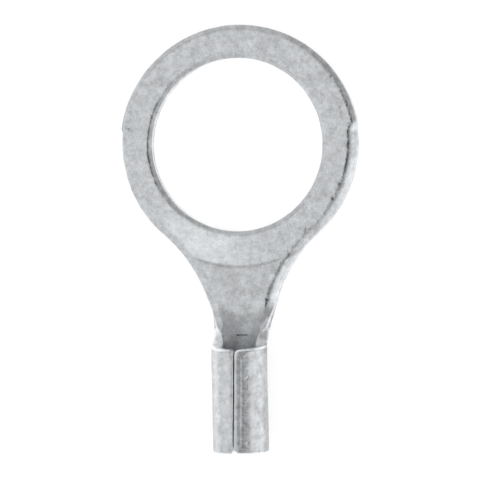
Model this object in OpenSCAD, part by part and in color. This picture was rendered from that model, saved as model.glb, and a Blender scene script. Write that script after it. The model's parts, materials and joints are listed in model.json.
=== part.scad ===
// Ring terminal, plain (uninsulated), butted seam.
// One piece of tin-plated copper sheet: a ring for the stud, a neck whose sides curl up,
// and a barrel rolled round the wire, with the two edges of the sheet meeting along the top.
// Origin: centre of the stud hole, on the underside. +Z up through the hole, barrel toward -Y.

/* [Sheet] */
// Thickness of the sheet
stock_t = 0.9; // [0.6:0.05:1.1]
// Width over which the punch draws the upper edges of the ring and neck down
roll_w = 0.55; // [0.3:0.05:0.6]
// Depth to which it draws them down
roll_depth = 0.35; // [0.15:0.05:0.4]

/* [Ring] */
// Diameter of the stud hole
stud_hole_d = 13.5; // [10:0.1:14.5]
// Outer diameter of the ring
ring_od = 18.7; // [17.4:0.1:20]
// How far the blank lies to the right of the stud hole, which is punched in a stroke of its own
blank_right = 0.15; // [0:0.01:0.2]
// How far the ring lies toward its tip from the stud hole
ring_ahead = 0.1; // [0:0.01:0.2]
// How far the pad that is pressed flat round the hole reaches past the ring onto the neck
pad_margin = 0.25; // [0.25:0.05:1]
// Depth by which the pad is pressed below the neck
pad_depth = 0.08; // [0.02:0.01:0.1]
// How much larger the radius of the cut that frees the ring's tip is
tip_wider = 0.15; // [0.1:0.01:0.2]
// How far inside the ring's circle that cut runs at the tip
tip_step = 0.12; // [0.06:0.01:0.2]
// Angle, counted up from the ring's middle, of the two places where the cuts meet
tip_cut_a = 8; // [2:1:20]
// Edge radius along the tip, where the sheet is cut from the other side
tip_roll = 0.2; // [0.1:0.05:0.3]

/* [Neck] */
// Radius of the hollow flanks that lead from the ring to the barrel
flank_r = 10.4; // [9:0.2:12]
// Length over which the flat neck curls up into the barrel
curl_len = 3.5; // [2.6:0.1:4.5]
// Length beside the mouth over which the curl's edges are sheared square
square_len = 1.3; // [0.5:0.1:2]

/* [Barrel] */
// Diameter of the bore that takes the wire
wire_bore_d = 2.55; // [2:0.05:3]
// Length of the barrel
barrel_len = 8.3; // [5:0.1:12]
// Distance from the middle of the stud hole to the barrel's mouth, at half the barrel's height
mouth_y = 15.6; // [15:0.1:17]
// How much further back the mouth lies at the seam
mouth_rake = 0.25; // [0:0.05:0.5]
// Opening of the seam between the two edges of the sheet
seam_gap = 0.1; // [0.04:0.01:0.3]
// Rounding of the seam's two lips
lip_r = 0.25; // [0.1:0.05:0.4]
// Rounding of the barrel's end, outside
rim_r = 0.22; // [0.1:0.02:0.4]
// Rounding of the barrel's end, inside, which guides the strands in
lead_in_r = 0.3; // [0.1:0.05:0.4]
// Rounding of the four corners where the seam meets the barrel's ends
corner_r = 0.35; // [0.2:0.05:0.6]

/* [Wire stop] */
// Length of the score across the trough that shows where the strands end
stop_len = 1.2; // [0.6:0.1:1.6]
// Width of the score
stop_w = 0.14; // [0.08:0.02:0.3]
// Depth of the score
stop_depth = 0.25; // [0.1:0.05:0.4]
// Distance from the score to the barrel's mouth
stop_setback = 0.75; // [0.4:0.05:1.5]

/* [Hidden] */

hole_r = stud_hole_d / 2;
ring_r = ring_od / 2;
pad_r = ring_r + pad_margin;
pad_t = stock_t - pad_depth;
tip_r = ring_r + tip_wider;
tip_ahead = ring_ahead - tip_wider - tip_step;      // from the hole to the middle of the tip's cut
bore_r = wire_bore_d / 2;
barrel_r = bore_r + stock_t;
curl_y = mouth_y - curl_len;
square_y = mouth_y - square_len;

// Each flank is an arc that touches the ring and one side of the barrel. flank_y is how far the
// middle of that arc lies from the middle of the stud hole.
flank_x = barrel_r + flank_r;
flank_drop = sqrt(pow(ring_r + flank_r, 2) - pow(flank_x, 2));
flank_y = flank_drop - ring_ahead;
touch = ring_r / (ring_r + flank_r);
touch_a = -atan2(flank_drop, flank_x);

slack = 0.5;        // how far a cutter reaches past what it cuts
round_fn = 96;      // fineness of circles
tenon = 0.1;        // how far the curl reaches into the neck and the barrel, inside their skins
tenon_gap = 0.015;  // depth of the tenons below those skins
nub_a = 0.6;        // angle by which the ring's roll stops short of the tip's cut
curl_steps = 9;     // sections along the curl's rolled edges
square_steps = 5;   // sections along its square edges
square_r = 0.04;    // rounding of the square edges
square_gap = 0.06;  // length over which the roll gives way to the square edge
arc_steps = 18;     // chords across each face of a section
roll_steps = 4;     // chords round each rolled edge
edge_last = roll_steps + 2;                         // number of the last point of an edge
section_points = 2 * (arc_steps + edge_last);       // points round a section

// Radius of an arc that leaves a face smoothly and drops by depth over the width w.
function roll_radius(w, depth) = (w * w + depth * depth) / (2 * depth);

function mix(a, b, k) = a + (b - a) * k;
function ease(k) = k * k * (3 - 2 * k);

// Distance from the middle of the flat neck to the flank, d inside its edge, at a distance y from the hole.
// Past the point where the flank touches the barrel's side it runs straight.
function flank_at(y, d) = flank_x - sqrt(pow(flank_r + d, 2) - pow(min(y, flank_y) - flank_y, 2));

// Curvature of the sheet's underside at a share k of the curl: none at first, the barrel's own at the end.
function bend_at(k) = ease(k) / barrel_r;

// A point of the bent sheet. s is its distance from the middle, measured along the sheet at half its
// thickness, and t is its height above the underside.
function bent(s, t, bend) = bend == 0 ? [s, t] :
    let (r = 1 / bend, a = s / (r - stock_t / 2) * 180 / PI)
    [(r - t) * sin(a), r - (r - t) * cos(a)];

// How far along the bent sheet its underside reaches the half width w.
function along_bend(w, bend) = bend == 0 ? w :
    let (r = 1 / bend)
    (r - stock_t / 2) * asin(min(w / r, 1)) * PI / 180;

// The sheet's edge, from its lower corner up over the roll: [distance inside the edge, height].
function edge_profile(w, depth) =
    let (r = roll_radius(w, depth))
    concat(
        [[0, 0], [0, (stock_t - depth) / 2]],
        [for (i = [0 : roll_steps]) let (a = asin(min(w / r, 1)) * (1 - i / roll_steps))
            [w - r * sin(a), stock_t - r + r * cos(a)]]);

// A closed section of the curl at a distance y from the hole, as points in X and Z: along the
// underside from left to right, up the right edge, back along the top, and down the left edge. It lies
// the depth inset below the sheet's skin.
function curl_section(y, inset) =
    let (
        bend = bend_at((y - curl_y) / curl_len),
        half_s = along_bend(flank_at(y, 0), bend),
        profile = y > square_y ? edge_profile(square_r, square_r) : edge_profile(roll_w, roll_depth),
        edge = [for (p = profile)
            [half_s - flank_at(y, 0) + flank_at(y, p[0]) - inset, p[1]]],
        top_s = edge[edge_last][0],
        low_s = edge[0][0],
        under = [for (i = [0 : arc_steps - 1]) [mix(-low_s, low_s, i / arc_steps), 0]],
        top = [for (i = [1 : arc_steps - 1]) [mix(top_s, -top_s, i / arc_steps), stock_t]],
        left = [for (i = [edge_last : -1 : 1]) [-edge[i][0], edge[i][1]]])
    [for (p = concat(under, edge, top, left))
        bent(p[0], min(max(p[1], inset), stock_t - inset), bend)];

// All sections of the curl from the neck to the barrel: [shape's place, real place, inset], both
// places as distances from the hole. The first two and the last two make tenons that lie below the
// skins of the neck and the barrel.
function curl_stations() = concat(
    [[curl_y, curl_y - tenon, tenon_gap], [curl_y, curl_y, tenon_gap]],
    [for (j = [1 : curl_steps]) let (y = mix(curl_y, square_y, j / curl_steps)) [y, y, 0]],
    [for (j = [0 : square_steps - 1])
        let (y = mix(square_y + square_gap, mouth_y, j / square_steps)) [y, y, 0]],
    [[mouth_y, mouth_y, tenon_gap], [mouth_y, mouth_y + tenon, tenon_gap]]);

// Faces that close a section: strips between its underside and its top, and one face at each edge.
function curl_cap() = concat(
    [for (i = [1 : arc_steps - 2])
        [i, i + 1, 2 * arc_steps + edge_last - i - 1, 2 * arc_steps + edge_last - i]],
    [[for (i = [arc_steps - 1 : arc_steps + edge_last + 1]) i]],
    [[for (i = [-1 : edge_last + 1]) (2 * arc_steps + edge_last + i) % section_points]]);

// The part of the sheet that curls up from the flat neck to the barrel, lofted through its sections.
module curl() {
    stations = curl_stations();
    last_station = len(stations) - 1;
    points = [for (st = stations) for (p = curl_section(st[0], st[2])) [p[0], -st[1], p[1]]];
    skin = [for (j = [0 : last_station - 1], i = [0 : section_points - 1])
        let (a = j * section_points + i, b = j * section_points + (i + 1) % section_points)
        each [[a, b + section_points, b], [a, a + section_points, b + section_points]]];
    last = [for (face = curl_cap())
        [for (i = [len(face) - 1 : -1 : 0]) last_station * section_points + face[i]]];
    polyhedron(points, concat(curl_cap(), skin, last));
}

// All that lies ahead of the two places where the cuts meet, in plan, seen from the ring's middle.
module ahead_of_cuts() {
    reach = 3 * ring_r;
    polygon([
        [0, 0],
        [reach * cos(tip_cut_a), reach * sin(tip_cut_a)],
        [reach, reach],
        [-reach, reach],
        [-reach * cos(tip_cut_a), reach * sin(tip_cut_a)]]);
}

// Plan of the flat part without its hole: the ring, whose tip is cut with a larger radius, and the
// neck as far as the curl.
module tongue_outline() {
    translate([0, ring_ahead])
        difference() {
            circle(r = ring_r, $fn = 2 * round_fn);
            ahead_of_cuts();
        }
    intersection() {
        translate([0, tip_ahead])
            circle(r = tip_r, $fn = 2 * round_fn);
        translate([0, ring_ahead])
            ahead_of_cuts();
    }
    difference() {
        polygon([
            [0, ring_ahead],
            [-flank_x * touch, ring_ahead - flank_drop * touch],
            [-flank_x, -curl_y],
            [flank_x, -curl_y],
            [flank_x * touch, ring_ahead - flank_drop * touch]]);
        for (side = [-1, 1])
            translate([side * flank_x, -flank_y])
                circle(r = flank_r, $fn = 2 * round_fn);
    }
}

// What rounding takes off a corner, drawn with the body to the left of x = 0 and below y = 0: the top
// drops by depth over the width w. The waste reaches the distance past beyond the body's side.
module roll_waste(w, depth, past = slack) {
    r = roll_radius(w, depth);
    difference() {
        translate([-w, -r])
            square([w + past, r + slack]);
        translate([-w, -r])
            circle(r = r, $fn = round_fn);
    }
}

// Rolls the ring's upper edge from one flank to just short of the place where the cuts meet.
module ring_edge_cutter() {
    translate([0, ring_ahead, pad_t])
        rotate_extrude(angle = tip_cut_a - nub_a - touch_a, start = touch_a, $fn = 2 * round_fn)
            translate([ring_r, 0])
                roll_waste(roll_w, roll_depth);
}

// Rounds the upper edge of the tip.
module tip_edge_cutter() {
    intersection() {
        translate([0, tip_ahead, pad_t])
            rotate_extrude($fn = 2 * round_fn)
                translate([tip_r, 0])
                    roll_waste(tip_roll, tip_roll);
        translate([0, ring_ahead, 0])
            linear_extrude(2 * stock_t)
                ahead_of_cuts();
    }
}

// Rolls the upper edges of both flanks at height h.
module flank_edge_cutter(h) {
    for (side = [-1, 1])
        translate([side * flank_x, -flank_y, h])
            rotate_extrude($fn = 2 * round_fn)
                translate([flank_r, 0])
                    mirror([1, 0])
                        roll_waste(roll_w, roll_depth);
}

// Everything above and below the pressed pad.
module pad_zone() {
    translate([0, ring_ahead, -slack])
        cylinder(r = pad_r, h = stock_t + 2 * slack, $fn = 2 * round_fn);
}

// The stud hole, flared by the roll at the top of the pad.
module stud_hole_cutter() {
    rotate_extrude($fn = 2 * round_fn) {
        translate([0, -slack])
            square([hole_r, stock_t + 2 * slack]);
        translate([hole_r, pad_t])
            mirror([1, 0])
                roll_waste(roll_w, roll_depth);
    }
}

// The flat part: ring and neck, with the pad pressed round the hole and every upper edge rolled. Its
// x counts from the blank's middle.
module tongue() {
    difference() {
        linear_extrude(stock_t)
            tongue_outline();
        translate([0, ring_ahead, pad_t])
            cylinder(r = pad_r, h = stock_t, $fn = 2 * round_fn);
        for (side = [0, 1])
            mirror([side, 0, 0])
                ring_edge_cutter();
        tip_edge_cutter();
        intersection() {
            flank_edge_cutter(pad_t);
            pad_zone();
        }
        difference() {
            flank_edge_cutter(stock_t);
            pad_zone();
        }
        translate([-blank_right, 0, 0])
            stud_hole_cutter();
    }
}

// The barrel's wall, as a section to be turned: x is the radius, and y runs from the mouth to the
// wire's end.
module wall_section() {
    difference() {
        translate([bore_r, 0])
            square([stock_t, barrel_len]);
        translate([barrel_r, barrel_len])
            roll_waste(rim_r, rim_r);
        translate([bore_r, barrel_len])
            mirror([1, 0])
                roll_waste(lead_in_r, lead_in_r);
    }
}

// Moves what stands on the origin along +Z to the barrel's axis, running from its mouth toward -Y.
module along_barrel() {
    translate([0, -mouth_y, barrel_r])
        rotate([90, 0, 0])
            children();
}

// What rounds one lip of the seam, drawn in X and Z about the barrel's axis. The rounding touches the
// seam's side and the barrel's skin.
module lip_waste() {
    cx = seam_gap / 2 + lip_r;
    cy = sqrt(pow(barrel_r - lip_r, 2) - pow(cx, 2));
    reach = (barrel_r + slack) / (barrel_r - lip_r);
    difference() {
        polygon([
            [0, cy],
            [cx, cy],
            [cx * reach, cy * reach],
            [0, cy * reach]]);
        translate([cx, cy])
            circle(r = lip_r, $fn = round_fn);
    }
}

// The open seam, with both its lips rounded.
module seam_cutter() {
    translate([0, 0, -slack])
        linear_extrude(barrel_len + 2 * slack) {
            translate([-seam_gap / 2, 0])
                square([seam_gap, barrel_r + slack]);
            for (side = [0, 1])
                mirror([side, 0])
                    lip_waste();
        }
}

// What rounds the corners where the seam meets the barrel's ends, seen along Z.
module corner_cutters() {
    for (side = [0, 1], far = [0, 1])
        mirror([side, 0, 0])
            translate([seam_gap / 2, -mouth_y - (far == 1 ? barrel_len : mouth_rake), barrel_r])
                mirror([0, far, 0])
                    linear_extrude(barrel_r + slack)
                        mirror([1, 0])
                            roll_waste(corner_r, corner_r, seam_gap / 2);
}

// What lies ahead of the mouth's upper half, which leans back toward the seam.
module mouth_cutter() {
    lean = mouth_rake / barrel_r;
    reach = barrel_r + slack;
    translate([-reach, -mouth_y, barrel_r])
        rotate([90, 0, 90])
            linear_extrude(2 * reach)
                polygon([[0, 0], [slack, 0], [slack, reach], [-lean * reach, reach]]);
}

// The rolled barrel, open along its top.
module barrel() {
    difference() {
        along_barrel()
            rotate_extrude($fn = 2 * round_fn)
                wall_section();
        along_barrel()
            seam_cutter();
        mouth_cutter();
        corner_cutters();
    }
}

// Score across the trough's floor.
module wire_stop_cutter() {
    translate([-stop_len / 2, -mouth_y + stop_setback - stop_w / 2, stock_t - stop_depth])
        cube([stop_len, stop_w, stock_t]);
}

module ring_terminal() {
    color("gainsboro")
        translate([blank_right, 0, 0])
            difference() {
                union() {
                    tongue();
                    curl();
                    barrel();
                }
                wire_stop_cutter();
            }
}

ring_terminal();
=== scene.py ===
# %% [markdown]
# # A ring terminal, made the way the press makes it
# A ring terminal joins a wire to a stud. It is one piece of tin-plated copper sheet: a ring for
# the stud, a neck, and a barrel that is rolled round the wire until the two edges of the sheet
# meet along the top.
#
# The real one starts as a flat blank. A press punches it out, which rolls its edges over, then
# presses a flat pad round the hole, and at last curls the narrow end into a tube. This lesson
# takes the same steps in the same order, so each bend and edge comes out where the real one has
# it. First comes the frame, the exact part that gives every size.

# %% Load the frame
import json
import math

import bpy
import numpy as np
from mathutils import Matrix, Vector, kdtree
from mathutils.geometry import delaunay_2d_cdt


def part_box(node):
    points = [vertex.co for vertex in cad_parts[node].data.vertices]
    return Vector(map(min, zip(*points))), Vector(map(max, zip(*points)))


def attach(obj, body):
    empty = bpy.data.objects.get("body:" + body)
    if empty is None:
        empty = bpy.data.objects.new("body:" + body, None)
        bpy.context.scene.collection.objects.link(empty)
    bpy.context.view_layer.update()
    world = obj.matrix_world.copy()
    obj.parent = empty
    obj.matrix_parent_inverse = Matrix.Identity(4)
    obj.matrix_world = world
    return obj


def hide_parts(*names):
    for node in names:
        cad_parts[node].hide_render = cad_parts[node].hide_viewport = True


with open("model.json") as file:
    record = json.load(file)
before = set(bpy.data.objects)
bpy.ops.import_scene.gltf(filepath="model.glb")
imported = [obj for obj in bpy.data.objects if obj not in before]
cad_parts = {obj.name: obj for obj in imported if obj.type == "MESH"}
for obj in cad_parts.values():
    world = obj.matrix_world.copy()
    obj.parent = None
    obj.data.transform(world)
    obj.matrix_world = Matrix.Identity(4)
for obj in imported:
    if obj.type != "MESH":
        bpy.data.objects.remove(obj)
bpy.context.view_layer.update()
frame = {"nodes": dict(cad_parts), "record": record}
print("nodes:", sorted(frame["nodes"]))

# %% [markdown]
# ## Sizes
# The frame's mounts state the hole and the bore, and the box of its one node states the rest of
# the outside. Only what the box can't tell, such as where the neck starts to curl, is given here.
# All lengths are in millimetres until a mesh is made.
#
# The press punches the hole in a stroke of its own, so it never sits quite in the blank's middle.
# The blank is drawn about its own middle, and moves to its place beside the hole at the end.

# %% Read the driving sizes
MM = 0.001
low, high = (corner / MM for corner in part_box("ring_terminal"))
mounts = {mount["name"]: mount for mount in frame["record"]["mounts"]}
hole_r = mounts["stud_hole"]["dims"]["r_mm"]
bore_r = mounts["wire_barrel"]["dims"]["r_mm"]
barrel_r = mounts["wire_barrel"]["pos_m"][2] / MM
sheet_t = barrel_r - bore_r
pad_t = mounts["ring_top"]["pos_m"][2] / MM
blank_right = mounts["wire_barrel"]["pos_m"][0] / MM
end_y = -low.y
print(f"hole {2 * hole_r:.2f}, barrel {2 * barrel_r:.2f}, sheet {sheet_t:.2f}, end at {end_y:.2f}")

# %% State what the frame can't tell
RING_AHEAD = 0.1      # how far the ring's middle lies toward the tip from the hole's
TIP_STEP = 0.12       # how far inside the ring's circle the tip's own cut runs
TIP_WIDER = 0.15      # how much larger the radius of that cut is
TIP_A = 8.0           # degrees up from the ring's middle, where the two cuts meet
PAD_MARGIN = 0.25     # how far the pad that is pressed flat reaches past the ring
FLANK_R = 11.6        # hollow flanks between ring and barrel
MOUTH_Y = 15.6        # from the hole's centre to the barrel's mouth
MOUTH_RAKE = 0.25     # how much further back the mouth lies at the seam
CURL_LEN = 3.5        # length over which the flat neck curls up
SQUARE_LEN = 1.3      # beside the mouth, the curl's edges are sheared square
SEAM_GAP = 0.1        # between the two edges of the sheet along the barrel
CORNER_R = 0.35       # corners where the seam meets the barrel's ends
NICK_R = 0.12         # inner corner where the wings start

ring_r = high.y - RING_AHEAD + TIP_STEP
tip_r = ring_r + TIP_WIDER
tip_ahead = RING_AHEAD - TIP_WIDER - TIP_STEP
curl_y = MOUTH_Y - CURL_LEN
mid_r = barrel_r - sheet_t / 2
flank_x = barrel_r + FLANK_R
flank_drop = math.sqrt((ring_r + FLANK_R) ** 2 - flank_x ** 2)
flank_y = flank_drop - RING_AHEAD
touch_a = -math.degrees(math.atan2(flank_drop, flank_x))
wing_half = math.pi * mid_r - SEAM_GAP / 2
print(f"the wings of the blank reach {wing_half:.2f} mm to each side")

# %% [markdown]
# ## The camera
# The camera stands high above the part and a little to its right, with a long lens, the way a
# small part is shown in a catalogue. A long lens keeps the ring round.

# %% Set the camera
CAMERA_FAR = 222.0            # mm from the part
LEAN_RIGHT, LEAN_TIP = 10.94, 0.76   # degrees from straight above, toward +X and toward the tip
TURN = 1.17                   # degrees that the part is turned in the view
VIEW_W = 37.5                 # mm of the part's plane that the view is wide
CENTRE = (0.125, -7.445)       # middle of the view, in mm to the right of the hole and above it


def camera_axes(lean_right, lean_tip, turn):
    """The camera's right, up and backward directions."""
    over = Matrix.Rotation(math.radians(lean_right), 3, "Y")
    ahead = Matrix.Rotation(-math.radians(lean_tip), 3, "X")
    spin = Matrix.Rotation(-math.radians(turn), 3, "Z")
    return (over @ ahead @ spin).col


right, up, back = camera_axes(LEAN_RIGHT, LEAN_TIP, TURN)
camera_data = bpy.data.cameras.new("camera")
camera = bpy.data.objects.new("camera", camera_data)
bpy.context.scene.collection.objects.link(camera)
place = CAMERA_FAR * back + CENTRE[0] * right + CENTRE[1] * up
turned = Matrix((right, up, back)).transposed().to_4x4()
camera.matrix_world = Matrix.Translation(place * MM) @ turned
camera_data.lens = camera_data.sensor_width * CAMERA_FAR / VIEW_W
camera_data.clip_start = 0.01
bpy.context.scene.camera = camera
print(f"lens {camera_data.lens:.0f} mm")

# %% [markdown]
# ## The blank's outline
# The blank is drawn flat. Each stretch of its outline is a line, an arc or a rule, and each says
# how its upper and its lower edge are formed: the width and the depth over which the edge is drawn
# down, and the share of that width that still lies flat. Shears leave an edge almost square, and a
# punch draws it down in a wide roll that ends in a straight bevel. The upper side of the blank
# becomes the inside of the barrel.
#
# Half an outline is enough, because the two sides mirror each other.

# %% Lines and arcs
STEP = 0.09           # distance between the points of the outline


def line(start, end):
    """Points from start toward end, a step apart, without the end itself."""
    start, end = np.array(start, float), np.array(end, float)
    count = max(2, round(np.linalg.norm(end - start) / STEP))
    share = np.arange(count)[:, None] / count
    return start + share * (end - start)


def arc(center, radius, from_a, to_a):
    """Points along an arc from one angle toward another, in degrees, without the last."""
    count = max(5, round(abs(math.radians(to_a - from_a)) * radius / STEP))
    angles = np.radians(from_a + (to_a - from_a) * np.arange(count) / count)
    return np.array(center) + radius * np.stack([np.cos(angles), np.sin(angles)], 1)


# %% The neck's flank, unrolled
def smooth(k):
    """Eases from 0 to 1."""
    k = np.clip(k, 0, 1)
    return k * k * (3 - 2 * k)


def bend_at(y):
    """Curvature of the sheet's underside at a distance y from the hole."""
    return np.maximum(smooth((y - curl_y) / CURL_LEN), 1e-4) / barrel_r


def flank_half(y):
    """Half width of the neck on the flat blank. Seen from above the curled neck keeps the arc."""
    seen = flank_x - np.sqrt(FLANK_R ** 2 - np.minimum(y - flank_y, 0) ** 2)
    bend = bend_at(y)
    return (1 / bend - sheet_t / 2) * np.arcsin(np.minimum(seen * bend, 1))


def curled_edge(from_y, to_y):
    """Points along the neck's edge where it curls."""
    y = from_y + (to_y - from_y) * np.arange(0, 1, STEP / abs(to_y - from_y))
    return np.stack([flank_half(y), -y], 1)


print(f"the neck is {2 * flank_half(curl_y):.2f} wide where it starts to curl")


# %% The barrel's mouth, unrolled
def mouth_at(across):
    """How far from the hole the mouth lies. Its upper half leans back toward the seam."""
    height = np.maximum(-np.cos(across / mid_r), 0) * mid_r / barrel_r
    return MOUTH_Y + MOUTH_RAKE * height


def mouth_edge(from_x, to_x):
    """Points along the front edge of a wing."""
    across = from_x + (to_x - from_x) * np.arange(0, 1, STEP / abs(to_x - from_x))
    return np.stack([across, -mouth_at(across)], 1)


# %% Half of the outline, from the wire's end to the tip
# width, depth and flat share of the upper edge, then of the lower one
PUNCHED = (1.05, 0.4, 0.1, 0.05, 0.05, 0)
CURLED = (0.85, 0.34, 0.15, 0.05, 0.05, 0)
HOLE_CUT = (0.55, 0.17, 0.0, 0.05, 0.05, 0)
SHEARED = (0.06, 0.06, 0, 0.06, 0.06, 0)
TIP_CUT = (0.6, 0.16, 0, 0.08, 0.08, 0)
NUB = (0.7, 0.3, 0.1, 0.08, 0.08, 0)
LEFT_LIP = (0.06, 0.06, 0, 0.46, 0.1, 0)
RIGHT_LIP = (0.06, 0.06, 0, 0.1, 0.08, 0)
WIRE_END = (0.3, 0.25, 0, 0.22, 0.2, 0)
MOUTH = (0.15, 0.15, 0, 0.26, 0.18, 0)
CORNER = (0.15, 0.15, 0, 0.25, 0.2, 0)
LEDGE_A = 1.6                     # degrees over which the outline steps from one cut to the other

corner_x = wing_half - CORNER_R
corner_y = float(mouth_at(corner_x)) + CORNER_R
root = float(flank_half(np.array(MOUTH_Y - NICK_R)))
flank_from = 180 - math.degrees(math.asin((flank_y - curl_y) / FLANK_R))
ledge = np.array([0, RING_AHEAD]) + ring_r * np.array(
    [math.cos(math.radians(TIP_A - LEDGE_A)), math.sin(math.radians(TIP_A - LEDGE_A))])
nub_a = TIP_A + math.degrees((RING_AHEAD - tip_ahead) / tip_r)
nub = np.array([0, tip_ahead]) + tip_r * np.array(
    [math.cos(math.radians(nub_a)), math.sin(math.radians(nub_a))])
half_outline = [
    (line((0, -end_y), (corner_x, -end_y)), *WIRE_END),
    (arc((corner_x, -end_y + CORNER_R), CORNER_R, -90, 0), *CORNER),
    (line((wing_half, -end_y + CORNER_R), (wing_half, -corner_y)), *LEFT_LIP),
    (arc((corner_x, -corner_y), CORNER_R, 0, 90), *CORNER),
    (mouth_edge(corner_x, root + NICK_R), *MOUTH),
    (arc((root + NICK_R, -MOUTH_Y + NICK_R), NICK_R, 270, 180), *SHEARED),
    (curled_edge(MOUTH_Y - NICK_R, MOUTH_Y - SQUARE_LEN), *SHEARED),
    (curled_edge(MOUTH_Y - SQUARE_LEN, curl_y + 1), *CURLED),
    (curled_edge(curl_y + 1, curl_y), *PUNCHED),
    (arc((flank_x, -flank_y), FLANK_R, flank_from, 180 + touch_a), *PUNCHED),
    (arc((0, RING_AHEAD), ring_r, touch_a, TIP_A - LEDGE_A), *PUNCHED),
    (line(ledge, nub), *NUB),
    (arc((0, tip_ahead), tip_r, nub_a, 90), *TIP_CUT),
]
hole_outline = [(arc((-blank_right, 0), hole_r, 360, 0), *HOLE_CUT)]
print(f"the two cuts meet {nub[0] - ledge[0]:.2f} mm apart")


# %% Join the stretches into closed loops
def loop_of(stretches):
    """One array of outline points, each with the six numbers of its edges."""
    rows = [np.column_stack([points, np.full((len(points), 6), edge)])
            for points, *edge in stretches]
    return np.concatenate(rows)


def mirrored(half):
    """The whole outline from its right half."""
    left = half[1:][::-1].copy()
    left[:, 0] *= -1
    tip = np.array([[0, tip_ahead + tip_r, *half[-1, 2:]]])
    return np.concatenate([half, tip, left])


def evened(loop, passes):
    """Lets the edges change gradually from one stretch to the next."""
    for _ in range(passes):
        edges = loop[:, 2:]
        loop[:, 2:] = (np.roll(edges, 1, 0) + 2 * edges + np.roll(edges, -1, 0)) / 4
    return loop


outer = mirrored(loop_of(half_outline))
right_lip = (outer[:, 0] > wing_half - 0.01) & (outer[:, 1] < -corner_y)
outer[right_lip, 2:] = RIGHT_LIP
outer = evened(outer, passes=8)
hole = evened(loop_of(hole_outline), passes=4)
print(len(outer), "points round the blank and", len(hole), "round the hole")

# %% [markdown]
# ## From outline to solid blank
# Two things make the blank: a band of quads that carries the rolled edge right round each loop,
# and two skins, one above and one below, that fill what the bands leave. The skins are
# triangulated from a regular grid of points, so that small dents can be pressed into them later.
# The grid is finer where the press scores a short line and where a groove runs beside the seam.

# %% The edge band
ROLL_STEPS = 12       # points across a rolled edge
SIDE_STEPS = 4        # and down the straight side below it
ROLL_SHARE = 0.7      # share of the slope that is rolled, before the straight bevel


def outward(loop):
    """Unit normals that point away from the material, which lies to the left of the loop."""
    along = np.roll(loop[:, :2], -1, 0) - np.roll(loop[:, :2], 1, 0)
    along /= np.linalg.norm(along, axis=1)[:, None]
    return np.stack([along[:, 1], -along[:, 0]], 1)


def drop(out, flat):
    """Share of the whole drop at a share of the width. The slope starts once the flat share is
    past, grows smoothly, and then stays."""
    bend = ROLL_SHARE * (1 - flat)
    t = np.clip((out - flat) / bend, 0, 1)
    rolled = bend * (t ** 3 - t ** 4 / 2)
    straight = np.maximum(out - flat - bend, 0)
    return (rolled + straight) / (1 - flat - bend / 2)


def band(loop):
    """Points of the formed edge: a row from the underside to the top, for each of the loop."""
    width, depth, flat, low_width, low_depth, low_flat = (loop[:, i:i + 1] for i in range(2, 8))
    out = (np.arange(ROLL_STEPS + 1) / ROLL_STEPS)[None, :]
    rise = np.arange(1, SIDE_STEPS)[None, :] / SIDE_STEPS
    inside = np.hstack([low_width * (1 - out), 0 * rise * width, width * out])
    height = np.hstack([
        low_depth * drop(out, low_flat),
        low_depth + rise * (sheet_t - depth - low_depth),
        sheet_t - depth * drop(1 - out, flat)])
    place = loop[:, None, :2] - inside[:, :, None] * outward(loop)[:, None, :]
    return np.dstack([place, height])


def band_faces(count, rows, first):
    """Quads between neighbouring rows of a band."""
    faces = []
    for i in range(count):
        here, there = first + i * rows, first + (i + 1) % count * rows
        faces += [(here + j, there + j, there + j + 1, here + j + 1) for j in range(rows - 1)]
    return faces


# %% The skins
def grid_points(spacing, box):
    """A triangular grid over a box given as (low x, low y, high x, high y)."""
    rise = spacing * math.sqrt(3) / 2
    rows = np.arange(math.ceil(box[1] / rise), math.floor(box[3] / rise) + 1)
    columns = np.arange(math.ceil(box[0] / spacing), math.floor(box[2] / spacing) + 1)
    x, y = np.meshgrid(columns * spacing, rows * rise)
    x += spacing / 2 * (rows % 2)[:, None]
    return np.stack([x.ravel(), y.ravel()], 1)


def within(points, box):
    """Which points lie in a box."""
    x, y = points[:, 0], points[:, 1]
    return (x > box[0]) & (x < box[2]) & (y > box[1]) & (y < box[3])


def triangulated(loops, grids):
    """Fills the space between closed loops with triangles over the points of the grids.
    Returns the grid points that were used, and triangles that number loop points first."""
    rim = np.concatenate(loops)
    normals = np.concatenate([outward(loop) for loop in loops])
    tree = kdtree.KDTree(len(rim))
    for i, point in enumerate(rim):
        tree.insert((*point, 0), i)
    tree.balance()

    def depth(point):
        nearest, i, distance = tree.find((*point, 0))
        side = (point[0] - nearest[0]) * normals[i, 0] + (point[1] - nearest[1]) * normals[i, 1]
        return distance if side < 0 else -distance

    inner = [point for grid, clear in grids for point in grid if depth(point) > clear]
    edges, first = [], 0
    for loop in loops:
        edges += [(first + i, first + (i + 1) % len(loop)) for i in range(len(loop))]
        first += len(loop)
    points = [Vector(point) for point in rim] + [Vector(point) for point in inner]
    result = delaunay_2d_cdt(points, edges, [], 0, 1e-9)
    if len(result[0]) != len(points):
        raise ValueError("the outline crosses itself")
    origin = [ids[0] for ids in result[3]]
    triangles = [[origin[i] for i in face] for face in result[2]]
    kept = [t for t in triangles
            if max(t) >= len(rim) or depth(np.mean([rim[i] for i in t], 0)) > 0]
    return inner, kept


# %% Put the blank together
FINE, COARSE = 0.09, 0.12     # grid spacing where the part is seen closely, and elsewhere
FINEST, GROOVE_GRID = 0.03, 0.05      # round the score, and along the groove
CLEAR = 0.6                   # spacings that a grid keeps from the edge band
TONGUE = (-10, -MOUTH_Y, 10, 10)
BARREL = (-6, -end_y, 6, -MOUTH_Y)
SCORE_LEN, SCORE_W, SCORE_DEPTH = 1.2, 0.14, 0.25
SCORE_SETBACK = 0.75          # from the score to the mouth
SCORE_MARGIN = 0.1            # how far its fine grid reaches past it
LIP_STRIP = 0.9               # width of the groove's fine grid, beside the right lip

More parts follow.
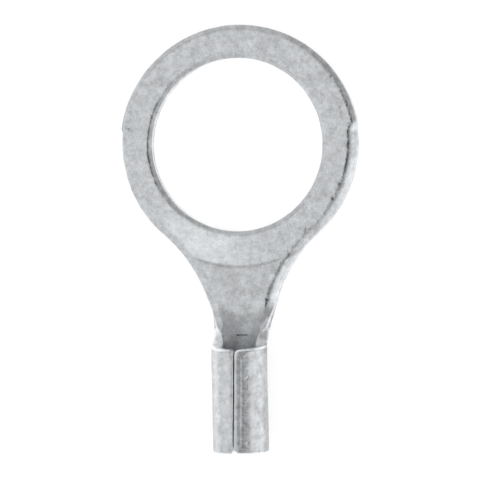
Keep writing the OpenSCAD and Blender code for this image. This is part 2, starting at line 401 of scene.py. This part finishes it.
score_y = -MOUTH_Y + SCORE_SETBACK
score_box = (-SCORE_LEN / 2 - SCORE_MARGIN, score_y - SCORE_W / 2 - SCORE_MARGIN,
             SCORE_LEN / 2 + SCORE_MARGIN, score_y + SCORE_W / 2 + SCORE_MARGIN)
lip_box = (wing_half - LIP_STRIP, -end_y + LIP_STRIP / 2, wing_half, -corner_y)


def make_blank():
    """The flat blank, as points in millimetres and faces."""
    bands = [band(loop) for loop in (outer, hole)]
    points, faces, starts = [], [], []
    rows = bands[0].shape[1]
    for one in bands:
        starts.append(len(points))
        faces += band_faces(len(one), rows, len(points))
        points += one.reshape(-1, 3).tolist()
    for row, height, spacings in ((rows - 1, sheet_t, (FINE, COARSE)), (0, 0.0, (COARSE, FINE))):
        grids = [(grid_points(spacing, box), CLEAR * spacing)
                 for spacing, box in zip(spacings, (TONGUE, BARREL))]
        box, spacing = (score_box, FINEST) if height else (lip_box, GROOVE_GRID)
        grids = [(grid[~within(grid, box)], clear) for grid, clear in grids]
        grids.append((grid_points(spacing, box), spacing))
        inner, triangles = triangulated([one[:, row, :2] for one in bands], grids)
        number = [start + i * rows + row
                  for one, start in zip(bands, starts) for i in range(len(one))]
        number += range(len(points), len(points) + len(inner))
        points += [[x, y, height] for x, y in inner]
        turn = 1 if height else -1
        faces += [[number[i] for i in triangle][::turn] for triangle in triangles]
    return np.array(points), faces


blank, blank_faces = make_blank()
print(len(blank), "points,", sum(len(face) - 2 for face in blank_faces), "triangles")

# %% [markdown]
# ## Pressing the pad and the score
# The press squeezes the ring and the top of the neck a little thinner, so that the washer bears
# on clean flat metal. What it leaves is a shallow step across the neck. Just ahead of the mouth it
# scores a short line, up to which the strands reach. Where the wings part from the neck the metal
# is pinched, which leaves a small dimple on each side. The die that closes the barrel rubs a fine
# groove along the right lip.

# %% Press the pad
PAD_STEP = 0.28       # width of the step's slope


def press_pad(points):
    """Thins the sheet inside the pad's circle."""
    reach = np.hypot(points[:, 0], points[:, 1] - RING_AHEAD)
    inside = 1 - smooth((reach - ring_r - PAD_MARGIN) / PAD_STEP + 0.5)
    points[:, 2] *= 1 - inside * (1 - pad_t / sheet_t)


flat_height = blank[:, 2] / sheet_t       # the finish tells faces and edges apart by this
press_pad(blank)
print(f"the pad is {pad_t:.2f} thick, the rest {sheet_t:.2f}")

# %% Press the score, the dimples and the groove
SCORE_WALL = 0.035    # width of the score's sloping walls
DIMPLE_R, DIMPLE_DEPTH = 0.32, 0.1
DIMPLES = ((1.95, -13.75), (-2.05, -15.0))
GROOVE_IN, GROOVE_HALF = 0.36, 0.16       # from the lip to the groove's middle, and half its width
GROOVE_DEPTH = 0.04
GROOVE_RUN = 0.5      # over this length it fades at both ends


def press_marks(points):
    """Presses the score and the dimples into the upper side, and the groove into the lower."""
    upper = points[:, 2] > sheet_t / 2
    past = np.maximum(np.abs(points[:, 0]) - SCORE_LEN / 2,
                      np.abs(points[:, 1] - score_y) - SCORE_W / 2)
    sink = SCORE_DEPTH * smooth(-past / SCORE_WALL)
    for x, y in DIMPLES:
        reach = np.hypot(points[:, 0] - x, points[:, 1] - y)
        sink = sink + DIMPLE_DEPTH * smooth(1 - reach / DIMPLE_R)
    points[:, 2] -= upper * sink
    aside = np.abs(points[:, 0] - wing_half + GROOVE_IN)
    starts = smooth((-points[:, 1] - corner_y) / GROOVE_RUN)
    ends = smooth((end_y - GROOVE_RUN + points[:, 1]) / GROOVE_RUN)
    groove = GROOVE_DEPTH * np.maximum(1 - aside / GROOVE_HALF, 0)
    points[:, 2] += ~upper * (starts * ends) * groove


press_marks(blank)
print(f"the score lies {SCORE_SETBACK:.2f} ahead of the mouth and is {SCORE_DEPTH:.2f} deep")

# %% Make the mesh
mesh = bpy.data.meshes.new("ring_terminal_sheet")
mesh.from_pydata((blank * MM).tolist(), [], blank_faces)
mesh.shade_smooth()
skin = mesh.attributes.new("height_in_sheet", "FLOAT", "POINT")
skin.data.foreach_set("value", flat_height.astype(np.float32))
terminal = bpy.data.objects.new("ring_terminal_sheet", mesh)
bpy.context.scene.collection.objects.link(terminal)
print(terminal.name, "has", len(mesh.polygons), "faces")

# %% [markdown]
# ## Node trees as Python
# Both the bending and the finish are node trees. Linking dozens of Math nodes by hand is hard to
# read, so one small class wraps a socket and gives it Python's operators: each expression adds
# the Math nodes that it needs.


# %% A socket that can be added and multiplied
def operator(operation, swapped=False):
    """The method for one of Python's operators."""
    def apply(self, other):
        pair = (other, self) if swapped else (self, other)
        return self.graph.add("ShaderNodeMath", {"operation": operation}, *pair)
    return apply


class Value:
    """A socket of a node tree."""

    def __init__(self, graph, socket):
        self.graph, self.socket = graph, socket

    __add__, __radd__ = operator("ADD"), operator("ADD", True)
    __sub__, __rsub__ = operator("SUBTRACT"), operator("SUBTRACT", True)
    __mul__, __rmul__ = operator("MULTIPLY"), operator("MULTIPLY", True)
    __truediv__, __rtruediv__ = operator("DIVIDE"), operator("DIVIDE", True)
    __pow__ = operator("POWER")
    at_least, at_most = operator("MAXIMUM"), operator("MINIMUM")

    def math(self, operation):
        """A function of this value alone, such as SINE."""
        return self.graph.add("ShaderNodeMath", {"operation": operation}, self)

    def ramp(self, start, end, low=0.0, high=1.0):
        """Goes smoothly from low to high while this value goes from start to end."""
        settings = {"interpolation_type": "SMOOTHSTEP"}
        return self.graph.add("ShaderNodeMapRange", settings, self, start, end, low, high)


class Graph:
    """A node tree, with one method that adds any node."""

    def __init__(self, tree):
        self.tree = tree

    def add(self, kind, settings, *values, out=0, **named):
        """Adds a node: its settings first, then the values or links of its sockets in order or
        by name, with _ for a space. Returns one of its outputs."""
        node = self.tree.nodes.new(kind)
        for name, setting in settings.items():
            setattr(node, name, setting)
        inputs = {socket.identifier: socket for socket in node.inputs}
        pairs = [(node.inputs[i], value) for i, value in enumerate(values)]
        pairs += [(inputs.get(name) or node.inputs[name.replace("_", " ")], value)
                  for name, value in named.items()]
        for socket, value in pairs:
            if isinstance(value, Value):
                self.tree.links.new(value.socket, socket)
            elif value is not None:
                socket.default_value = value
        return Value(self, node.outputs[out]) if node.outputs else None


# %% [markdown]
# ## Rolling the barrel and wearing the surface
# Bending is a rule: each point of the sheet keeps its distance along the sheet, and only the
# curvature changes with the distance from the hole, from none on the neck to the barrel's own.
# That could be done in Python too, but as Geometry Nodes the sizes stay named inputs that can be
# dragged while the barrel rolls up. The same tree then adds the wear that a barrel-plated part
# gets while thousands tumble together: broad soft dents, and small pits.

# %% Build the tree
# scale and detail of each noise
DENTS, PITS = {"Scale": 900, "Detail": 2}, {"Scale": 3000, "Detail": 1}
DENT_FROM, DENT_SLOPE = 0.62, 4       # level of the noise below which it dents, and how steeply
PIT_RANGE = (0.6, 0.72)               # levels at which a pit starts, and at which it is full


def press_tree(material):
    """Geometry Nodes that roll the blank and wear it."""
    tree = bpy.data.node_groups.new("roll_and_wear", "GeometryNodeTree")
    tree.interface.new_socket("Geometry", in_out="INPUT", socket_type="NodeSocketGeometry")
    sizes = {}
    for name in ("Barrel radius", "Sheet", "Curl start", "Mouth", "Wire end", "Blank right",
                 "Turn", "Twist", "Dent depth", "Pit depth", "Seed"):
        sizes[name] = tree.interface.new_socket(
            name, in_out="INPUT", socket_type="NodeSocketFloat")
    tree.interface.new_socket("Geometry", in_out="OUTPUT", socket_type="NodeSocketGeometry")
    graph = Graph(tree)
    group = tree.nodes.new("NodeGroupInput")
    given = {socket.name: Value(graph, socket) for socket in group.outputs if socket.name}

    place = graph.add("GeometryNodeInputPosition", {})
    across, along, height = (
        graph.add("ShaderNodeSeparateXYZ", {}, place, out=i) for i in range(3))
    share = (-1 * along).ramp(given["Curl start"], given["Mouth"])
    bend = share.at_least(1e-4) / given["Barrel radius"]
    shift = given["Turn"] + given["Twist"] * (-1 * along).ramp(given["Mouth"], given["Wire end"])
    angle = across * bend / (1 - bend * given["Sheet"] / 2) + shift * share
    new_x = angle.math("SINE") * (1 / bend - height) + given["Blank right"]
    new_z = 2 * (angle / 2).math("SINE") ** 2 / bend + height * angle.math("COSINE")
    rolled = graph.add("ShaderNodeCombineXYZ", {}, new_x, along, new_z)
    bent = graph.add("GeometryNodeSetPosition", {}, given["Geometry"], Position=rolled)

    normal = graph.add("GeometryNodeInputNormal", {})
    spot = graph.add("GeometryNodeInputPosition", {})
    noise = {"noise_dimensions": "4D"}
    dents = graph.add("ShaderNodeTexNoise", noise, Vector=spot, W=given["Seed"], **DENTS)
    pits = graph.add("ShaderNodeTexNoise", noise, Vector=spot, W=given["Seed"], **PITS)
    wear = (dents - DENT_FROM).at_most(0) * given["Dent depth"] * DENT_SLOPE
    wear = wear - pits.ramp(*PIT_RANGE) * given["Pit depth"]
    offset = graph.add("ShaderNodeVectorMath", {"operation": "SCALE"}, normal, Scale=wear)
    worn = graph.add("GeometryNodeSetPosition", {}, bent, Offset=offset)

    real = graph.add("GeometryNodeRealizeInstances", {}, worn)
    done = graph.add("GeometryNodeSetMaterial", {}, real, Material=material)
    graph.add("NodeGroupOutput", {}, done)
    return tree, sizes


# %% [markdown]
# ## Tin plate
# Tin that was tumbled in a plating barrel is satin and pale grey, with a fine mottle: broad
# patches, clouds and grains of brighter and duller metal, whose gloss is slightly uneven too. The
# tools leave their own tones on top. The pad is pressed clean, the punch burnishes the edge that
# it draws down, and the closing die leaves fine scuffing marks beside the seam. Light and shade are
# painted on as well: painted contact shade along the foot of the cut edges, painted shade on the
# barrel's lower sides and in the trough, a painted dark reflection in a band beside the seam, and a
# painted sheen on the ring. One attribute, the height of a point in the flat sheet, tells the faces
# and the cut edges apart, however far they have been bent since.

# %% The tones
NECK_TONE, PAD_TONE = 0.675, 0.715    # how much of the light the neck and the pressed pad reflect
BARREL_TONE = 0.79                    # the barrel's outside, at its top
SIDE_SHADE_SHARE = 0.63                      # share that the barrel's lower sides keep: painted shade, where they reflect the table in the barrel's own shadow
ROLL_TONE = 0.8                       # the rolled edges, which the punch burnished
FOOT_SHADE_SHARE = 0.6                   # share that the foot of a cut edge keeps: painted contact shade where it meets the table, on the fractured lower part of a punched edge
SHEAR_TONE = 0.95                     # the sheared edges beside the mouth, the brightest of the edges
TROUGH_SHADE_TONE = 0.63                    # the trough below the mouth: painted shade, where the barrel and the curled walls hide the light, on plating that is also thin and dull there
DARK_REFLECTION_SHARE = 0.82                     # share that the band beside the seam keeps: a painted dark reflection of the camera's front, on which the die's fine scuffing marks lie
SHEEN_SPOT, SHEEN_R, SHEEN_MORE = (-3.0, -7.5), 6.0, 0.2     # a painted sheen: a soft brighter place on the ring, its middle, radius and strength
TINT = (0.97, 0.998, 1.024)           # tin is a slightly cold white

# %% Where they lie
# in heights of the sheet, from its underside
UNDERSIDE, UPPER_SIDE = (0.0, 0.08), (0.9, 0.97)  # where the cut edge starts, and where it ends
# where the painted contact shade at the foot of the cut edges rises, and where it fades again
FOOT_SHADE_RISE, FOOT_SHADE_FALL = (0.02, 0.08), (0.2, 0.35)
# the band of painted dark reflection lies on the outside only, within these heights
SEAM_BAND_HEIGHTS = (0.0, 0.05)
# in radii of the barrel, from the table
# first pair: over these heights the painted shade on the barrel's lower sides fades out
# second pair: over these heights the band of painted dark reflection beside the seam fades in
SIDE_SHADE_LEVELS, SEAM_BAND_LEVELS = (1.15, 1.85), (1.0, 1.3)
# in millimetres to the right of the barrel's top
# where the band of painted dark reflection starts and ends, and where its scuffing marks end
SEAM_BAND_STARTS, SEAM_BAND_ENDS, TICKS_END = (0.25, 0.5), (1.5, 2.1), (0.95, 1.3)
# in millimetres from the hole toward the wire
SQUARE = (MOUTH_Y - SQUARE_LEN - 0.1, MOUTH_Y - SQUARE_LEN + 0.1)
# first span: where the painted shade in the trough deepens toward the mouth
TROUGH, CURLED_PART = (curl_y + 0.6, MOUTH_Y + 0.2), (curl_y + 0.6, curl_y + 1.7)
# in millimetres from the ring's middle
PAD_EDGE = (ring_r + PAD_MARGIN - 0.1, ring_r + PAD_MARGIN + 0.1)

# %% The mottle
MOTTLE, PATCHES, GRAIN, TICKS = (2600, 3.0), (1100, 1.0), (7000, 2.0), (2600, 2.0)   # scale, detail
MOTTLE_TONE, PATCH_TONE, GRAIN_TONE, TICKS_TONE = 0.5, 0.36, 0.35, 0.6
TICKS_SQUASH = 2.5                    # the fine scuffing marks beside the seam run across the barrel
ROUGH, PRESSED_LESS, TROUGH_MORE, MOTTLE_ROUGH = 0.36, 0.16, 0.4, 0.3
GRAIN_BUMP, GRAIN_HEIGHT = 0.5, 0.02  # strength, and height in millimetres


# %% The finish
def mm(lengths):
    """Lengths in millimetres, turned into metres."""
    return [length * MM for length in lengths]


def tin_plate():
    """The one material of the part."""
    material = bpy.data.materials.new("tumbled_tin_plate")
    material.use_nodes = True
    material.node_tree.nodes.clear()
    graph = Graph(material.node_tree)
    spot = graph.add("ShaderNodeTexCoord", {}, out=3)
    height = graph.add("ShaderNodeAttribute", {"attribute_name": "height_in_sheet"}, out=2)
    across, along, level = (graph.add("ShaderNodeSeparateXYZ", {}, spot, out=i) for i in range(3))

    def clouds(look, place=spot):
        scale, detail = look
        return graph.add("ShaderNodeTexNoise", {}, Vector=place, Scale=scale, Detail=detail)

    def far(place):
        """Distance from a place on top of the pad."""
        center = tuple(mm((*place, pad_t)))
        return graph.add("ShaderNodeVectorMath", {"operation": "DISTANCE"}, spot, center, out=1)

    mottle, patches, grain = clouds(MOTTLE), clouds(PATCHES), clouds(GRAIN)
    back_from = -1 * along
    square, trough, curled = (back_from.ramp(*mm(reach)) for reach in (SQUARE, TROUGH, CURLED_PART))
    upper = height.ramp(*UPPER_SIDE)
    # painted contact shade along the foot of the cut edges
    foot_shade = height.ramp(*FOOT_SHADE_RISE) * height.ramp(*FOOT_SHADE_FALL, 1, 0)
    pad = far((blank_right, RING_AHEAD)).ramp(*mm(PAD_EDGE), 1, 0)
    # a painted sheen on the ring
    painted_sheen = far(SHEEN_SPOT).ramp(0, SHEEN_R * MM, SHEEN_MORE, 0) * pad
    face = NECK_TONE + (PAD_TONE - NECK_TONE) * pad + painted_sheen
    # painted shade in the trough, deepening toward the mouth
    face = face + (TROUGH_SHADE_TONE - face) * trough
    # the cut edges, darkened at their foot by painted contact shade
    cut = ROLL_TONE * (1 - (1 - FOOT_SHADE_SHARE) * foot_shade) * (1 - square) + SHEAR_TONE * square
    # painted shade: the barrel's outside is darker toward the table
    side_shade_from, side_shade_to = (share * barrel_r * MM for share in SIDE_SHADE_LEVELS)
    outside = level.ramp(side_shade_from, side_shade_to, SIDE_SHADE_SHARE * BARREL_TONE, BARREL_TONE)
    on_top = level.ramp(*(share * barrel_r * MM for share in SEAM_BAND_LEVELS))
    # a band of painted dark reflection beside the seam, with the die's fine scuffing marks on it
    scuffing_and_dark_reflection = across.ramp(*mm(SEAM_BAND_STARTS)) * across.ramp(*mm(SEAM_BAND_ENDS), 1, 0)
    scuffing_and_dark_reflection = scuffing_and_dark_reflection * on_top * height.ramp(*SEAM_BAND_HEIGHTS, 1, 0)
    squashed = graph.add("ShaderNodeCombineXYZ", {}, across, along * TICKS_SQUASH, level)
    ticks = (clouds(TICKS, squashed) - 0.5) * TICKS_TONE * scuffing_and_dark_reflection * across.ramp(*mm(TICKS_END), 1, 0)
    outside = outside * (1 - (1 - DARK_REFLECTION_SHARE) * scuffing_and_dark_reflection) + ticks
    tone = outside + (cut - outside) * height.ramp(*UNDERSIDE)
    tone = tone + (face - tone) * upper
    tone = tone + (mottle - 0.5) * MOTTLE_TONE + (patches - 0.5) * PATCH_TONE
    tone = tone + (grain - 0.5) * GRAIN_TONE
    color = graph.add("ShaderNodeCombineColor", {}, *(tone * share for share in TINT))
    gloss = ROUGH - PRESSED_LESS * upper + TROUGH_MORE * upper * curled
    roughness = gloss + (mottle - 0.5) * MOTTLE_ROUGH
    bump = graph.add("ShaderNodeBump", {}, Strength=GRAIN_BUMP, Distance=GRAIN_HEIGHT * MM,
                     Height=grain)
    shader = graph.add("ShaderNodeBsdfPrincipled", {}, color,
                       Metallic=1.0, Roughness=roughness, Normal=bump)
    graph.add("ShaderNodeOutputMaterial", {}, shader)
    return material


material = tin_plate()
print(material.name, "has", len(material.node_tree.nodes), "nodes")

# %% Run the tree and keep its result
SEAM_TURN, SEAM_TWIST = 1.5, 4.5    # degrees: where the seam starts, and how far it wanders

tree, sizes = press_tree(material)
modifier = terminal.modifiers.new("roll_and_wear", "NODES")
modifier.node_group = tree
for name, value in {
        "Barrel radius": barrel_r * MM, "Sheet": sheet_t * MM, "Curl start": curl_y * MM,
        "Mouth": MOUTH_Y * MM, "Wire end": end_y * MM, "Blank right": blank_right * MM,
        "Turn": math.radians(SEAM_TURN), "Twist": math.radians(SEAM_TWIST),
        "Dent depth": 0.02 * MM, "Pit depth": 0.014 * MM, "Seed": 7.0}.items():
    modifier[sizes[name].identifier] = value
evaluated = terminal.evaluated_get(bpy.context.evaluated_depsgraph_get())
rolled_mesh = bpy.data.meshes.new_from_object(evaluated)
terminal.modifiers.clear()
terminal.data = rolled_mesh
print(len(rolled_mesh.vertices), "points rolled and worn")
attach(terminal, "root")
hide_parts("ring_terminal")

# %% [markdown]
# ## The set
# The part lies on a white light table, which shines from below so that nothing casts a hard
# shadow. Metal shows what it reflects, so the studio round it is what really draws the part: a
# wide white tent above and to the left, a greyer wall to the right and beyond the tip, a bright
# lamp low on the right that lights the rolled edges there, and the dark front of the camera
# itself, which draws the thin dark lines along them. The tent is painted on the world, as
# brightness by direction.

# %% The table
TABLE_HALF = 0.6                      # metres
TABLE_WHITE, TABLE_GLOW = 0.8, 0.62


def light_table():
    """A white floor that glows."""
    half = TABLE_HALF
    mesh = bpy.data.meshes.new("floor")
    mesh.from_pydata([(-half, -half, 0), (half, -half, 0), (half, half, 0), (-half, half, 0)],
                     [], [(0, 1, 2, 3)])
    floor = bpy.data.objects.new("floor", mesh)
    bpy.context.scene.collection.objects.link(floor)
    finish = bpy.data.materials.new("light_table")
    finish.use_nodes = True
    finish.node_tree.nodes.clear()
    graph = Graph(finish.node_tree)
    shader = graph.add("ShaderNodeBsdfPrincipled", {}, (TABLE_WHITE,) * 3 + (1,), Roughness=0.9,
                       Emission_Color=(1, 1, 1, 1), Emission_Strength=TABLE_GLOW)
    graph.add("ShaderNodeOutputMaterial", {}, shader)
    mesh.materials.append(finish)


light_table()
print(f"the table is {2 * TABLE_HALF:.1f} m wide")

# %% The tent
TENT = 0.79                   # brightness overhead and to the left
# each wall: degrees from overhead at which it starts and is complete, and its share of that
RIGHT_WALL = (0, 16, 0.56)
LOW_LAMP = (36, 56, 3.0)
RIGHT_FOOT, LEFT_FOOT = (64, 88, 0.52), (50, 85, 0.75)
FAR_WALL, NEAR_WALL = (5, 32, 0.72), (5, 50, 0.8)     # beyond the tip, and beyond the wire's end
LAMP_TURN = 25.0              # degrees that the lamp stands from the right toward the near side
CAMERA_DARK = 0.95            # how dark the camera's front is
CAMERA_REACH = (13, 7)        # degrees from its middle, over which it fades


def studio_tent():
    """Brightness by direction, on the world."""
    world = bpy.data.worlds.new("studio_tent")
    bpy.context.scene.world = world
    world.use_nodes = True
    world.node_tree.nodes.clear()
    graph = Graph(world.node_tree)
    toward = graph.add("ShaderNodeTexCoord", {}, out=0)
    x, y = (graph.add("ShaderNodeSeparateXYZ", {}, toward, out=i) for i in range(2))
    aside, ahead = x.math("ARCSINE"), y.math("ARCSINE")

    def wall(angle, start, end, share):
        """Goes from 1 to the share between two angles in degrees."""
        return angle.ramp(math.radians(start), math.radians(end), 1, share)

    turn = math.radians(LAMP_TURN)
    lamp_side = (x * math.cos(turn) - y * math.sin(turn)).math("ARCSINE")
    light = TENT * wall(aside, *RIGHT_WALL) * wall(lamp_side, *LOW_LAMP)
    light = light * wall(aside, *RIGHT_FOOT) * wall(-1 * aside, *LEFT_FOOT)
    light = light * wall(ahead, *FAR_WALL) * wall(-1 * ahead, *NEAR_WALL)
    facing = graph.add("ShaderNodeVectorMath", {"operation": "DOT_PRODUCT"},
                       toward, tuple(back), out=1)
    edge, core = (math.cos(math.radians(a)) for a in CAMERA_REACH)
    light = light * facing.ramp(edge, core, 1, 1 - CAMERA_DARK)
    shader = graph.add("ShaderNodeBackground", {}, (1, 1, 1, 1), light)
    graph.add("ShaderNodeOutputWorld", {}, shader)
    return world


tent = studio_tent()
bpy.context.scene.view_settings.view_transform = "Standard"
print(tent.name, "has", len(tent.node_tree.nodes), "nodes")
